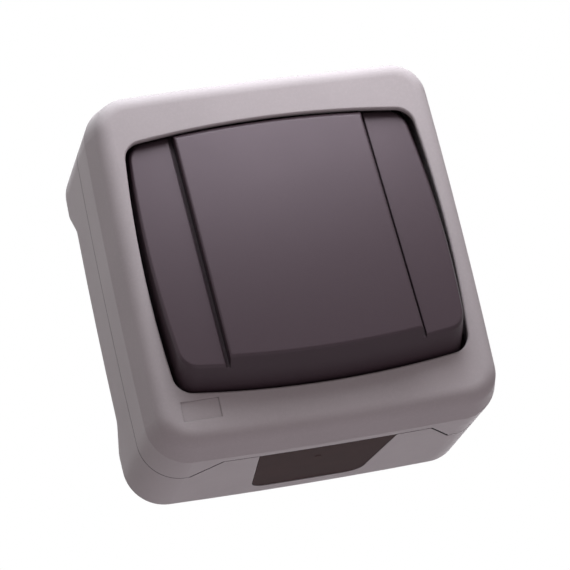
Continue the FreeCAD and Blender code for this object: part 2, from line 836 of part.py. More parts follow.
def make_screws():
    lug_top = s.gasket_low + s.gasket_height + s.lug_height
    insert_length = s.base_screw_seat - s.floor - s.pilot_spare
    terminal_seat = s.clamp_top + s.terminal_rise
    terminal_length = terminal_seat - s.terminal_screw_tip
    cover, insert, terminal = [], [], []
    for side, hand in ((-1, "left"), (1, "right")):
        x, z = side * s.base_screw_x, side * s.base_screw_z
        cover.append(screw("cover_screw_" + hand, side * s.post_offset, 0.0, lug_top, s.screw_length))
        insert.append(screw("insert_screw_" + hand, x, z, s.base_screw_seat, insert_length))
    for side, end in ((-1, "low"), (1, "high")):
        z = side * s.clamp_offset
        terminal.append(screw("terminal_screw_" + end, 0.0, z, terminal_seat, terminal_length))
    return [
        group("cover_screws", *cover),
        group("insert_screws", *insert),
        group("terminal_screws", *terminal),
    ]


# Switch insert: moulded base, and a plate clipped over it whose ears hold the rocker's trunnions


def insert_block(body, low, top):
    """A block with the insert's plan and rounded corners, between two lifts."""
    half_w, half_h = s.base_width / 2, s.base_height / 2
    plan = front_sketch(body, "insert_plan", low)
    rectangle(plan, -1 * half_w, half_w, -1 * half_h, half_h)
    pad(body, "insert_block", plan, top - low)
    corners = [(x * number(half_w), z * number(half_h)) for x in (-1, 1) for z in (-1, 1)]
    dress(body, "Fillet", "insert_corners", along_axis(1, *corners), s.wall)


def clip_outline(sketch, inner, outer, half_length):
    """The four places where the plate clips to the base, seen from the front."""
    for side in (-1, 1):
        for end in (-1, 1):
            low = end * s.clip_offset - side * half_length
            rectangle(sketch, side * inner, side * outer, low, low + 2 * side * half_length)


def make_insert_base():
    body = new_body("insert_base")
    insert_block(body, s.floor, s.base_top)
    notches = front_sketch(body, "clip_notches", s.clip_low - s.clip_play)
    inner = s.base_width / 2 - s.clip_hook - s.clip_play
    clip_outline(notches, inner, s.base_width / 2 + s.overrun, s.clip_length / 2 + s.clip_play)
    pocket(body, "cut_clip_notches", notches, s.clip_hook_height + 2 * s.clip_play, reverse=True)

    # Channel for the contact strips, deeper where the terminal clamps sit
    channel = front_sketch(body, "channel", s.strip_lift)
    rectangle(channel, -1 * s.channel_width / 2, s.channel_width / 2, -1 * s.base_height, s.base_height)
    pocket(body, "cut_channel", channel, s.base_top, reverse=True)
    wells = front_sketch(body, "clamp_wells", s.clamp_lift)
    half_x = s.clamp_width / 2 + s.clamp_play
    for side in (-1, 1):
        middle = side * s.clamp_offset
        reach = side * (s.clamp_length / 2 + s.clamp_play)
        rectangle(wells, -1 * side * half_x, side * half_x, middle - reach, middle + reach)
    pocket(body, "cut_clamp_wells", wells, s.base_top, reverse=True)

    # Counterbored holes for the two fixing screws, over the bosses of the rear box
    for name, start, radius, depth in (
        ("boss_seat", s.floor, s.base_boss_radius + s.base_boss_play, s.base_boss_top - s.floor),
        ("screw_hole", s.floor, s.screw_radius + s.lug_hole_play, s.base_screw_seat - s.floor),
        ("screw_well", s.base_screw_seat, s.screw_head_radius + s.base_boss_play, s.base_top),
    ):
        holes = front_sketch(body, name, start)
        for side in (-1, 1):
            circle(holes, side * s.base_screw_x, side * s.base_screw_z, radius)
        pocket(body, "cut_" + name, holes, depth, reverse=True)
    return body


def make_insert_plate():
    body = new_body("insert_plate")
    insert_block(body, s.base_top, s.plate_top)
    half_w = s.base_width / 2
    ears = front_sketch(body, "ears", s.base_top)
    for side in (-1, 1):
        low = -1 * side * s.ear_length / 2
        rectangle(ears, side * (half_w - s.ear_thickness), side * half_w, low, -1 * low)
    pad(body, "pad_ears", ears, s.ear_top - s.base_top)
    tops = [(-1 * number(s.ear_top), end * number(s.ear_length) / 2) for end in (-1, 1)]
    dress(body, "Fillet", "ear_tops", along_axis(0, *tops), s.ear_thickness)
    bores = new_sketch(body, "ear_bores", "YZ_Plane")
    circle(bores, -1 * s.pivot_lift, 0.0, s.trunnion_radius + s.running_fit)
    pocket(body, "cut_ear_bores", bores, 2 * s.base_width, both=True)

    # Holes for the plunger's tube and the fixing screws, and notches over the terminal screws
    holes = front_sketch(body, "plate_holes", s.base_top)
    circle(holes, 0.0, 0.0, s.plunger_hole_radius)
    head = s.screw_head_radius + s.plate_hole_play
    for side in (-1, 1):
        circle(holes, side * s.base_screw_x, side * s.base_screw_z, head)
        notch, edge = side * (s.clamp_offset - head), side * s.base_height
        rectangle(holes, -1 * side * head, side * head, notch, edge)
    pocket(body, "cut_plate_holes", holes, s.plate_thickness, reverse=True)

    # Four clips that reach down the sides of the base and hook into its notches
    face = half_w + s.clip_play
    arms = front_sketch(body, "clip_arms", s.clip_low)
    clip_outline(arms, face, face + s.clip_thickness, s.clip_length / 2)
    pad(body, "pad_clip_arms", arms, s.plate_top - s.clip_low)
    shoulders = front_sketch(body, "clip_shoulders", s.base_top)
    clip_outline(shoulders, half_w - s.clip_thickness, face + s.clip_thickness, s.clip_length / 2)
    pad(body, "pad_clip_shoulders", shoulders, s.plate_thickness)
    hooks = front_sketch(body, "clip_hooks", s.clip_low)
    clip_outline(hooks, half_w - s.clip_hook, face + s.clip_thickness / 2, s.clip_length / 2)
    pad(body, "pad_clip_hooks", hooks, s.clip_hook_height)
    return body


def fixed_contact_top():
    """Where the moving contact comes to rest, less the gap that is left between them."""
    swing = s.contact_offset * sine(s.lever_tilt)
    return s.lever_pivot + s.lever_back - s.contact_height - swing - s.contact_gap


def make_contacts():
    """Brass strips, their clamps and the fixed contact."""
    far = s.strip_lift + s.strip_thickness
    half = s.strip_width / 2
    end = s.clamp_offset + s.clamp_length / 2
    common = block("common_strip", -1 * half, half, s.strip_lift, far, -1 * end, s.fulcrum_width / 2)
    foot = s.fulcrum_width / 2
    shoulder = s.lever_pivot - foot
    riser = block("fulcrum_riser", -1 * half, half, s.strip_lift, shoulder, -1 * foot, foot)
    ridge = new_body("fulcrum_ridge")
    ridge_sketch = new_sketch(ridge, "ridge_profile", "YZ_Plane")
    polygon(ridge_sketch, [(-1 * shoulder, -1 * foot), (-1 * s.lever_pivot, 0.0), (-1 * shoulder, foot)])
    pad(ridge, "ridge", ridge_sketch, s.strip_width, both=True)
    # The lever rocks on this round crest, whose middle is the hinge line
    crest = rod("fulcrum_crest", s.fulcrum_round, s.strip_width, -1 * half, s.lever_pivot, 0.0, "x")
    common_terminal = fuse("common_terminal", common, riser, ridge, crest)

    start = s.contact_offset - s.contact_radius - s.strip_thickness
    fixed = block("fixed_contact_strip", -1 * half, half, s.strip_lift, far, start, end)
    rivet = rod("fixed_contact", s.contact_radius, fixed_contact_top() - far, 0.0, far, s.contact_offset)

    clamps = []
    half_x, half_z = s.clamp_width / 2, s.clamp_length / 2
    inside = half_x - s.clamp_wall
    floor, ceiling = s.clamp_lift + s.clamp_wall, s.clamp_top - s.clamp_wall
    for side, name in ((-1, "low_clamp"), (1, "high_clamp")):
        middle = side * s.clamp_offset
        low, high = middle - half_z, middle + half_z
        shell = block(name + "_shell", -1 * half_x, half_x, s.clamp_lift, s.clamp_top, low, high)
        window = block(
            name + "_window", -1 * inside, inside, floor, ceiling, low - s.overrun, high + s.overrun
        )
        depth = s.clamp_wall + 2 * s.overrun
        hole = rod(name + "_hole", s.screw_radius + s.screw_play, depth, 0.0, ceiling - s.overrun, middle)
        clamps.append(cut(name, shell, window, hole))
    return [common_terminal, fixed, rivet, group("terminal_clamps", *clamps)]


# Rocker: all its pieces are drawn about the pivot and then tilted to the rest position


def tilt_about_pivot(piece):
    piece.Placement = FreeCAD.Placement(
        FreeCAD.Vector(0, -1 * number(s.pivot_lift), 0),
        FreeCAD.Rotation(FreeCAD.Vector(-1, 0, 0), number(s.rest_tilt)),
    )
    bind(piece, "Placement.Base.y", -1 * s.pivot_lift)
    piece.setExpression("Placement.Rotation.Angle", s.rest_tilt.text + " * 1 deg")
    return piece


def rocker_form(body, inset, low, top):
    """The rocker's outer form between two lifts, or the same form a wall's thickness further in."""
    plan = front_sketch(body, "rocker_plan", low)
    wide = s.rocker_width - 2 * inset
    tall = 2 * (s.rocker_end_radius + s.rocker_blank_spare)
    barrel(plan, wide, tall, s.opening_side_sweep - inset, s.box_end_sweep, s.rocker_corner)
    part = pad(body, "rocker_block", plan, top - low)
    part.TaperAngle = -1 * number(s.rocker_side_taper)
    part.setExpression("TaperAngle", "-1 deg * " + s.rocker_side_taper.text)

    # Both ends are turned about the pivot, so they keep their distance to the frame as it rocks
    ends = new_sketch(body, "rocker_ends", "XY_Plane")
    half = s.rocker_width / 2 + s.rocker_corner
    reach = 2 * s.rocker_end_radius
    radius = s.rocker_end_radius - inset
    sweep = s.rocker_end_sweep - inset
    h, r, bow = number(half), number(radius), number(sweep)
    edge = r - bow + math.sqrt(bow ** 2 - h ** 2)
    crown = Part.Circle(FreeCAD.Vector(0, bow - r, 0), FreeCAD.Vector(0, 0, 1), bow)
    turn = math.asin(h / bow)
    ends.addGeometry(Part.ArcOfCircle(crown, -math.pi / 2 - turn, -math.pi / 2 + turn), False)
    outer = [(h, -edge), (h, -number(reach)), (-h, -number(reach)), (-h, -edge)]
    for index in range(3):
        start, finish = outer[index], outer[index + 1]
        ends.addGeometry(Part.LineSegment(FreeCAD.Vector(*start, 0), FreeCAD.Vector(*finish, 0)), False)
    for index in range(4):
        ends.addConstraint(Sketcher.Constraint("Coincident", index, 2, (index + 1) % 4, 1))
    place_point(ends, 0, 3, 0.0, sweep - radius)
    dimension(ends, "Radius", (0,), sweep)
    dimension(ends, "DistanceX", (-1, 1, 0, 2), half)
    dimension(ends, "DistanceX", (-1, 1, 0, 1), -1 * half)
    place_point(ends, 2, 1, half, -1 * reach)
    place_point(ends, 2, 2, -1 * half, -1 * reach)
    groove = body.newObject("PartDesign::Groove", "turn_ends")
    groove.Profile = ends
    groove.ReferenceAxis = (ends, ["H_Axis"])
    groove.Angle = 360.0
    doc.recompute()


def make_rocker_cap():
    core = new_body("rocker_core")
    ceiling = s.rocker_face - s.strip_drop - s.rocker_wall
    rocker_form(core, s.rocker_wall, s.rocker_skirt - s.overrun, ceiling)

    body = new_body("rocker_cap")
    rocker_form(body, 0.0, s.rocker_skirt, s.rocker_face)
    upright = MOST * number(s.rocker_face - s.rocker_skirt)
    beside = MOST * number(s.rocker_width) / 2
    beyond = MOST * number(s.rocker_end_radius)

    def corner_edge(edge):
        middle = edge.CenterOfMass
        return edge.BoundBox.YLength > upright and abs(middle.x) > beside and abs(middle.z) > beyond

    dress(body, "Fillet", "rocker_corners", corner_edge, s.rocker_corner)

    # The side strips lie lower than the middle panel, with a groove between
    inner = s.panel_width / 2
    groove = inner + s.panel_groove
    strip_face = s.rocker_face - s.strip_drop
    for name, low, outer in (
        ("side_strips", strip_face, s.rocker_width),
        ("panel_grooves", strip_face - s.panel_groove_depth, groove),
    ):
        cuts = front_sketch(body, name, low)
        for side in (-1, 1):
            end = side * s.rocker_end_radius
            rectangle(cuts, side * inner, side * outer, -1 * end, end)
        pocket(body, "cut_" + name, cuts, s.rocker_face - low + s.overrun, reverse=True)

    def strip_edge(edge):
        past_groove = abs(edge.CenterOfMass.x) > number(groove + s.running_fit)
        return at_lift(strip_face)(edge) and past_groove

    def panel_top(edge):
        return at_lift(s.rocker_face)(edge) and edge.CenterOfMass.z > number(s.overrun)

    def panel_edge(edge):
        return at_lift(s.rocker_face)(edge) and edge.CenterOfMass.z <= number(s.overrun)

    dress(body, "Chamfer", "strip_edges", strip_edge, s.strip_edge)
    dress(body, "Chamfer", "panel_top", panel_top, s.panel_bevel)
    dress(body, "Chamfer", "panel_edges", panel_edge, s.panel_edge)

    hollow = body.newObject("PartDesign::Boolean", "hollow")
    hollow.setObjects([core])
    hollow.Type = "Cut"
    doc.recompute()

    # Stakes that stand on the cradle and pass through it
    for name, low, width in (
        ("stakes", s.cradle_lift + s.cradle_thickness, s.stake_width),
        ("stake_pins", s.cradle_lift - s.stake_snap, s.stake_pin),
    ):
        stakes = front_sketch(body, name, low)
        stake_outline(stakes, width)
        pad(body, "pad_" + name, stakes, strip_face - low)
    return tilt_about_pivot(body)


def stake_outline(sketch, width):
    """The four square stakes between the rocker cap and its cradle, seen from the front."""
    for side in (-1, 1):
        for end in (-1, 1):
            left, low = side * s.stake_x - width / 2, end * s.stake_z - width / 2
            rectangle(sketch, left, left + width, low, low + width)


def make_cradle():
    body = new_body("rocker_cradle")
    half_w, half_h = s.cradle_half_width, s.cradle_half_height
    plate = front_sketch(body, "cradle_plate", s.cradle_lift)
    rectangle(plate, -1 * half_w, half_w, -1 * half_h, half_h)
    pad(body, "pad_plate", plate, s.cradle_thickness)
    cheeks = front_sketch(body, "cheeks", -1 * s.trunnion_radius)
    for side in (-1, 1):
        low = -1 * side * s.cheek_length / 2
        rectangle(cheeks, side * (half_w - s.cheek_thickness), side * half_w, low, -1 * low)
    pad(body, "pad_cheeks", cheeks, s.trunnion_radius + s.cradle_lift + s.cradle_thickness)
    tube = front_sketch(body, "tube", s.tube_low)
    circle(tube, 0.0, 0.0, s.tube_radius)
    pad(body, "pad_tube", tube, s.tube_top - s.tube_low)
    for side in (-1, 1):
        trunnion = new_sketch(body, "trunnion", "YZ_Plane", side * (half_w - s.cheek_thickness))
        circle(trunnion, 0.0, 0.0, s.trunnion_radius)
        pad(body, "pad_trunnion", trunnion, s.base_width / 2 - half_w + s.cheek_thickness, reverse=side < 0)
    bore = front_sketch(body, "tube_bore", s.tube_low)
    circle(bore, 0.0, 0.0, s.plunger_radius + s.plunger_play)
    pocket(body, "cut_tube_bore", bore, s.tube_top - s.tube_cap - s.tube_low, reverse=True)
    holes = front_sketch(body, "stake_holes", s.cradle_lift)
    stake_outline(holes, s.stake_pin + 2 * s.running_fit)
    pocket(body, "cut_stake_holes", holes, s.cradle_thickness, reverse=True)
    return tilt_about_pivot(body)


def make_plunger():
    """Blunt-nosed plunger, with a spigot that centres the spring."""
    body = new_body("plunger")
    profile = new_sketch(body, "plunger_profile", "XY_Plane")
    neck = s.plunger_tip + s.spring_wire
    # Half section, radius across X and lift along minus Y
    polygon(profile, [
        (0.0, s.plunger_reach),
        (s.plunger_tip - s.plunger_nose, s.plunger_reach),
        (s.plunger_tip, s.plunger_reach - s.plunger_nose),
        (s.plunger_tip, -1 * s.tube_low),
        (s.plunger_radius, -1 * s.tube_low - neck / 2),
        (s.plunger_radius, -1 * s.plunger_shoulder),
        (s.plunger_tip, -1 * s.plunger_shoulder),
        (s.plunger_tip, -1 * s.plunger_shoulder - neck),
        (0.0, -1 * s.plunger_shoulder - neck),
    ])
    turned = body.newObject("PartDesign::Revolution", "turned")
    turned.Profile = profile
    turned.ReferenceAxis = (profile, ["V_Axis"])
    turned.Angle = 360.0
    return tilt_about_pivot(body)


def make_spring():
    """Coil between the plunger's shoulder and the closed end of the tube."""
    piece = doc.addObject("Part::Feature", "plunger_spring")
    radius, wire = number(s.spring_radius), number(s.spring_wire)
    low = number(s.plunger_shoulder) + wire
    high = number(s.tube_top - s.tube_cap) - wire
    turns = number(s.spring_turns)
    path = Part.makeHelix((high - low) / turns, high - low, radius)
    # The wire is square and stands on its corners, which keeps the coil light
    corners = [math.radians(90 * step) for step in range(5)]
    section = Part.makePolygon(
        [FreeCAD.Vector(radius + wire * math.cos(turn), 0, wire * math.sin(turn)) for turn in corners]
    )
    coil = Part.Wire(path).makePipeShell([section], True, True)
    coil.rotate(FreeCAD.Vector(0, 0, 0), FreeCAD.Vector(1, 0, 0), 90)
    coil.translate(FreeCAD.Vector(0, -1 * low, 0))
    piece.Shape = Part.Compound([coil])
    return tilt_about_pivot(piece)


# Contact lever: drawn about its own fulcrum and tilted the other way


def tilt_about_fulcrum(piece):
    piece.Placement = FreeCAD.Placement(
        FreeCAD.Vector(0, -1 * number(s.lever_pivot), 0),
        FreeCAD.Rotation(FreeCAD.Vector(1, 0, 0), number(s.lever_tilt)),
    )
    bind(piece, "Placement.Base.y", -1 * s.lever_pivot)
    piece.setExpression("Placement.Rotation.Angle", s.lever_tilt.text + " * 1 deg")
    return piece


def make_lever():
    half_w, half_l = s.lever_width / 2, s.lever_length / 2
    near = s.lever_back
    far = near + s.lever_thickness
    offset = s.contact_offset
    plate = block("lever_plate", -1 * half_w, half_w, near, far, -1 * half_l, half_l)
    hole = rod("lever_rivet_hole", s.contact_radius / 2, s.lever_thickness, 0.0, near, offset)
    lever = cut("lever_blank", plate, hole)
    head = rod("rivet_head", s.contact_radius, s.contact_height, 0.0, near - s.contact_height, offset)
    stem = rod("rivet_stem", s.contact_radius / 2, s.lever_thickness, 0.0, near, offset)
    rivet = fuse("rivet_blank", head, stem)
    return [tilt_about_fulcrum(lever), tilt_about_fulcrum(rivet)]


common_terminal, fixed_strip, fixed_rivet, clamps = make_contacts()
cover_screws, insert_screws, terminal_screws = make_screws()
lever, rivet = make_lever()
parts = {
    "rear_box": make_rear_box(),
    "front_cover": make_front_cover(),
    "cover_gasket": make_cover_gasket(),
    "rocker_seal": make_rocker_seal(),
    "cable_entry_seal": make_cable_entry_seal(),
    "insert_base": make_insert_base(),
    "insert_plate": make_insert_plate(),
    "common_terminal": common_terminal,
    "fixed_contact_strip": fixed_strip,
    "fixed_contact": fixed_rivet,
    "terminal_clamps": clamps,
    "terminal_screws": terminal_screws,
    "insert_screws": insert_screws,
    "cover_screws": cover_screws,
    "rocker_cap": make_rocker_cap(),
    "rocker_cradle": make_cradle(),
    "plunger": make_plunger(),
    "plunger_spring": make_spring(),
    "contact_lever": lever,
    "moving_contact": rivet,
}
doc.recompute()

for thing in doc.Objects:
    if "Invalid" in thing.State or "Error" in thing.State:
        raise ValueError("%s failed: %s" % (thing.Label, thing.State))
for label, part in parts.items():
    part.Label = label
    if part.Shape.isNull() or not part.Shape.isValid():
        raise ValueError("the shape of %s is not valid" % label)

os.makedirs("parts", exist_ok=True)
for label, part in parts.items():
    part.Shape.exportStep("parts/%s.step" % label)
    print(label, len(part.Shape.Solids), round(part.Shape.Volume, 1))
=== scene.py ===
"""Looks of an outdoor weatherproof switch: finishes, screws, one moulded mark, light and camera."""

import json
import math

import bmesh
import bpy
from mathutils import Matrix, Vector


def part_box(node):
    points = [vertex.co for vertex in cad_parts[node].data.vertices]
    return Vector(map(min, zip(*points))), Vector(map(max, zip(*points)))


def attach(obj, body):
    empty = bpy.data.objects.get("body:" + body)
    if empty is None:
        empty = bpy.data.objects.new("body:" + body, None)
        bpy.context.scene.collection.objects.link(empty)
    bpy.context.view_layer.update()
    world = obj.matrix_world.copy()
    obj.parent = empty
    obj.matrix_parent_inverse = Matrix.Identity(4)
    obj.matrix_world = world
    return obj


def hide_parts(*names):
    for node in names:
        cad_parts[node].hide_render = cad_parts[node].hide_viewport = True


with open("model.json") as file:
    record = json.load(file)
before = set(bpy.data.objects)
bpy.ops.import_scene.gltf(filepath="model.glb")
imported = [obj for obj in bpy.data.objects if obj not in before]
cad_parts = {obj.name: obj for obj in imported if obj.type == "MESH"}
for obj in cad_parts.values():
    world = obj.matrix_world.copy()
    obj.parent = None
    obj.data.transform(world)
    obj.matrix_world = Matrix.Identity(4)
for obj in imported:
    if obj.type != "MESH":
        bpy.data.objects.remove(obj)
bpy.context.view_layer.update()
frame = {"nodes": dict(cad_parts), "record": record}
nodes = frame["nodes"]
scene = bpy.context.scene

MM = 0.001
WHITE = (1.0, 1.0, 1.0)


# Node trees as Python expressions


class Value:
    """A node's output. An expression on values adds its Math node to their tree."""

    def __init__(self, tree, socket):
        self.tree = tree
        self.socket = socket

    def maths(self, operation, first, second):
        return self.tree.node("ShaderNodeMath", {"operation": operation}, **{"#0": first, "#1": second})

    def __add__(self, other):
        return self.maths("ADD", self, other)

    def __radd__(self, other):
        return self.maths("ADD", other, self)

    def __sub__(self, other):
        return self.maths("SUBTRACT", self, other)

    def __rsub__(self, other):
        return self.maths("SUBTRACT", other, self)

    def __mul__(self, other):
        return self.maths("MULTIPLY", self, other)

    def __rmul__(self, other):
        return self.maths("MULTIPLY", other, self)

    def __truediv__(self, other):
        return self.maths("DIVIDE", self, other)

    def __rtruediv__(self, other):
        return self.maths("DIVIDE", other, self)

    def most(self, other):
        return self.maths("MAXIMUM", self, other)


class Tree:
    """A node tree that calls and expressions fill."""

    def __init__(self, tree):
        self.tree = tree

    def give(self, socket, value):
        """Links a value to a socket, or sets the socket to a number, a tuple or a material."""
        if isinstance(value, Value):
            self.tree.links.new(value.socket, socket)
        elif hasattr(value, "__len__"):
            socket.default_value = (*value, 1.0)[: len(socket.default_value)]
        else:
            socket.default_value = value

    def node(self, kind, settings=None, output=0, **sockets):
        """Any node: its type, its settings, then what feeds its sockets, by name or by number after a #."""
        node = self.tree.nodes.new(kind)
        for name, value in (settings or {}).items():
            if name == "stops":
                for stop, (position, level) in zip(node.color_ramp.elements, value):
                    stop.position = position
                    stop.color = (level, level, level, 1.0)
            else:
                setattr(node, name, value)
        for name, value in sockets.items():
            socket = node.inputs[int(name[1:]) if name[0] == "#" else name.replace("_", " ")]
            for each in value if isinstance(value, list) else [value]:
                self.give(socket, each)
        return Value(self, node.outputs[output])


# Finishes


# Rays that a Bevel or Ambient Occlusion node sends out
FEELERS = 6


class Paint(Tree):
    """A material with one Principled shader."""

    def __init__(self, name, colour, roughness, **constants):
        self.material = bpy.data.materials.new(name)
        self.material.use_nodes = True
        self.material.diffuse_color = (*colour, 1.0)
        super().__init__(self.material.node_tree)
        self.shader = self.tree.nodes["Principled BSDF"]
        self.name = name
        self.colour = colour
        for socket, value in {"Base_Color": colour, "Roughness": roughness, **constants}.items():
            self.give(self.shader.inputs[socket.replace("_", " ")], value)

    def place(self):
        return self.node("ShaderNodeTexCoord", output="Object")

    def along(self, axis):
        """The place along one axis, in metres."""
        return self.node("ShaderNodeSeparateXYZ", output=axis, Vector=self.place())

    def noise(self, size, detail, stretch=None):
        """Smooth noise from 0 to 1 whose lumps are about size metres across."""
        place = self.place()
        if stretch:
            place = self.node("ShaderNodeMapping", Vector=place, Scale=stretch)
        return self.node("ShaderNodeTexNoise", Vector=place, Scale=1.0 / size, Detail=detail)

    def grains(self, size):
        """Distance to the nearest of scattered points, for the pits of a spark-eroded mould."""
        smooth = {"feature": "SMOOTH_F1"}
        return self.node("ShaderNodeTexVoronoi", smooth, Vector=self.place(), Scale=1.0 / size)

    def ramp(self, value, start, low, end, high):
        """Goes from low to high while a value goes from start to end."""
        return self.node("ShaderNodeValToRGB", {"stops": ((start, low), (end, high))}, Fac=value)

    def mix(self, factor, first, second):
        """Mixes two colours."""
        ends = {"#0": factor, "#6": first, "#7": second}
        return self.node("ShaderNodeMix", {"data_type": "RGBA"}, output=2, **ends)

    def rounded(self, radius):
        """The surface's normal as if its edges were rounded."""
        return self.node("ShaderNodeBevel", {"samples": FEELERS}, Radius=radius)

    def edges(self, radius):
        """1 where the surface turns within radius, 0 on flats."""
        flat = self.node("ShaderNodeNewGeometry", output="Normal")
        dot = {"operation": "DOT_PRODUCT"}
        sides = {"#0": self.rounded(radius), "#1": flat}
        meet = self.node("ShaderNodeVectorMath", dot, output="Value", **sides)
        return self.ramp(1.0 - meet, 0.004, 0.0, 0.09, 1.0)

    def hollows(self, reach, own_only):
        """1 down in seams and grooves narrower than reach, 0 on open surfaces."""
        settings = {"samples": FEELERS, "only_local": own_only}
        open_sky = self.node("ShaderNodeAmbientOcclusion", settings, output="AO", Distance=reach)
        return self.ramp(open_sky, 0.35, 1.0, 0.8, 0.0)

    def round_edges(self, radius):
        """Shades sharp edges as if they were rounded. Comes before any bump."""
        self.give(self.shader.inputs["Normal"], self.rounded(radius))

    def tint(self, factor, colour):
        """Moves the base colour towards another by factor."""
        base = self.shader.inputs["Base Color"]
        start = Value(self, base.links[0].from_socket) if base.links else self.colour
        self.give(base, self.mix(factor, start, colour))

    def rough(self, value):
        self.give(self.shader.inputs["Roughness"], value)

    def bump(self, height, depth):
        """Raises the surface by height times depth metres. A later call adds to an earlier one."""
        normal = self.shader.inputs["Normal"]
        feeds = {"Height": height, "Distance": depth}
        if normal.links:
            feeds["Normal"] = Value(self, normal.links[0].from_socket)
        self.give(normal, self.node("ShaderNodeBump", **feeds))


def shade(colour, factor):
    return tuple(min(1.0, c * factor) for c in colour)


def moulded_plastic(name, colour, roughness, grain, grain_depth, edge_radius, **constants):
    """Satin injection-moulded plastic: fine mould grain, faint flow clouds, rubbed edges."""
    paint = Paint(name, colour, roughness, **constants)
    paint.round_edges(edge_radius)
    clouds = paint.noise(14 * MM, 3.0)
    specks = paint.noise(0.5 * MM, 1.0)
    edges = paint.edges(0.3 * MM)
    paint.tint(paint.ramp(clouds, 0.35, 0.0, 0.65, 1.0) * 0.5, shade(colour, 0.93))
    paint.tint(paint.ramp(specks, 0.45, 0.0, 0.7, 1.0) * 0.35, shade(colour, 1.08))
    paint.tint(edges * clouds * 0.35, shade(colour, 1.25))
    paint.rough(roughness + (clouds - 0.5) * 0.08 + (specks - 0.5) * 0.06 - edges * 0.06)
    paint.bump(paint.grains(grain), grain_depth)
    paint.bump(paint.noise(3 * MM, 2.0), 0.006 * MM)
    return paint


def painted_hollow_shade(paint, reach, own_only, amount, depth):
    """Painted shade: darkens the base colour down in seams, grooves and gaps, where ambient occlusion finds
    close walls.
    """
    paint.tint(paint.hollows(reach, own_only) * amount, shade(paint.colour, depth))


def painted_seam_shade(paint, reach, lift, fade, depth):
    """Painted shade in the seam between the housing's halves, darkest where ambient occlusion finds the
    narrow gap. The mask ends at lift from the wall.
    """
    near_wall = paint.ramp((paint.along("Y") + lift) * (1.0 / fade), 0.0, 0.0, 1.0, 1.0)
    paint.tint(paint.hollows(reach, False) * near_wall, shade(paint.colour, depth))


def crown(paint, middle, radius):
    """Shades a flat face as one that is slightly crowned from top to bottom."""
    height = paint.along("Z") - middle
    paint.bump(height * height * (-0.5 / radius), 1.0)


def rubber(name, colour, roughness):
    """Matt rubber with a dusty bloom and a fine pitted skin."""
    paint = Paint(name, colour, roughness, Specular_IOR_Level=0.08, Specular_Tint=(1.0, 0.85, 0.87))
    bloom = paint.noise(6 * MM, 4.0)
    pits = paint.noise(0.25 * MM, 2.0)
    edges = paint.edges(0.6 * MM)
    paint.tint(paint.ramp(bloom, 0.4, 0.0, 0.75, 1.0) * 0.35, shade(colour, 1.5))
    paint.tint(edges * bloom * 0.6, shade(colour, 1.8))
    paint.rough(roughness + (bloom - 0.5) * 0.12)
    paint.bump(pits, 0.02 * MM)
    return paint


def stamped_metal(name, colour, roughness, stretch, tarnish):
    """Rolled or drawn metal: fine lines along the sheet, faint tarnish, brighter edges."""
    paint = Paint(name, colour, roughness, Metallic=1.0)
    lines = paint.noise(0.4 * MM, 3.0, stretch)
    spots = paint.noise(2.5 * MM, 4.0)
    edges = paint.edges(0.2 * MM)
    paint.tint(paint.ramp(spots, 0.45, 0.0, 0.75, 1.0) * tarnish, shade(colour, 0.55))
    paint.tint(edges * 0.5, shade(colour, 1.15))
    paint.rough(roughness + (lines - 0.5) * 0.16 + (spots - 0.5) * 0.1)
    paint.bump(lines, 0.006 * MM)
    return paint


def housing_grey():
    grey = (0.444, 0.404, 0.411)
    paint = moulded_plastic(
        "housing_grey", grey, 0.55, 0.16 * MM, 0.012 * MM, 0.4 * MM,
        Specular_IOR_Level=0.12, Specular_Tint=(1.0, 0.94, 0.97),
    )
    # Painted shade in the housing's narrow gaps, seams and on the opening's wall
    painted_hollow_shade(paint, 0.3 * MM, False, 0.7, 0.4)
    # Painted shade along the seam between the cover and the rear box
    painted_seam_shade(paint, 1.4 * MM, 31 * MM, 3 * MM, 0.1)
    return paint


def rocker_anthracite():
    anthracite = (0.043, 0.0275, 0.034)
    paint = moulded_plastic(
        "rocker_anthracite", anthracite, 0.4, 0.14 * MM, 0.01 * MM, 0.5 * MM,
        Specular_IOR_Level=0.32, Specular_Tint=(1.0, 0.88, 0.97),
    )
    # Painted shade in the rocker's grooves and steps, from its own walls only
    painted_hollow_shade(paint, 1.3 * MM, True, 0.9, 0.3)
    crown(paint, 2.2 * MM, 400 * MM)
    return paint


def insert_white():
    white = (0.68, 0.67, 0.62)
    paint = moulded_plastic("insert_white", white, 0.4, 0.2 * MM, 0.006 * MM, 0.2 * MM)
    # Painted shade in the insert's recesses and the gaps around it
    painted_hollow_shade(paint, 0.5 * MM, False, 0.5, 0.6)
    return paint


paints = [
    housing_grey(),
    rocker_anthracite(),
    insert_white(),
    rubber("black_rubber", (0.09, 0.068, 0.076), 0.75),
    rubber("entry_rubber", (0.060, 0.039, 0.038), 0.8),
    stamped_metal("brass", (0.74, 0.55, 0.25), 0.3, (1.0, 1.0, 0.06), 0.5),
    stamped_metal("contact_metal", (0.82, 0.81, 0.78), 0.22, (1.0, 1.0, 1.0), 0.3),
    stamped_metal("plated_steel", (0.66, 0.66, 0.64), 0.3, (1.0, 0.1, 1.0), 0.3),
    stamped_metal("spring_steel", (0.5, 0.5, 0.5), 0.28, (1.0, 0.2, 1.0), 0.3),
]
finishes = {paint.name: paint.material for paint in paints}

for piece in frame["record"]["subparts"]:
    node = nodes[piece["node"]]
    node.data.materials.clear()
    node.data.materials.append(None)
    node.material_slots[0].link = "OBJECT"
    node.material_slots[0].material = finishes[piece["material_slot"]]


# Threaded screws in place of the plain ones, made with Geometry Nodes


